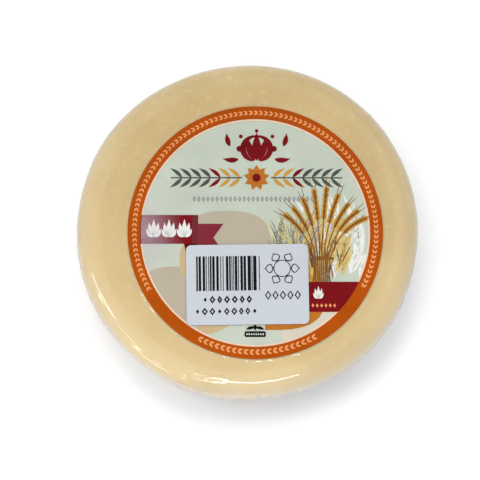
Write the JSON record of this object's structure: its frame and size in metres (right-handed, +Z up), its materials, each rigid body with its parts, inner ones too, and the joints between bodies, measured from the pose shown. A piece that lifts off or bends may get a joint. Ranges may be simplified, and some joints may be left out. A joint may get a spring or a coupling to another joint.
{
  "type": "mozzarella cheese",
  "caption": "Whole round mozzarella cheese in clear clinging vacuum film, flat underneath, with a round printed label and a price sticker on top.",
  "frame": {"origin": "middle of the flat foot, on the surface that the cheese stands on", "axes": "+Z up through the label, -Y towards the side from which the label reads upright, +X to the label's right"},
  "size_m": [0.1108, 0.1086, 0.0442],
  "materials": {
    "cheese": "smooth, pale cream-yellow cheese under clear glossy film",
    "label": "satin coated paper, pale mint field in an orange rim",
    "sticker": "smooth white thermal paper with black bars",
    "film": "thin clear glossy plastic film, clinging, with fine creases"
  },
  "bodies": {
    "root": {"cheese_wheel": "cheese", "round_label": "label", "price_sticker": "sticker"}
  },
  "joints": []
}
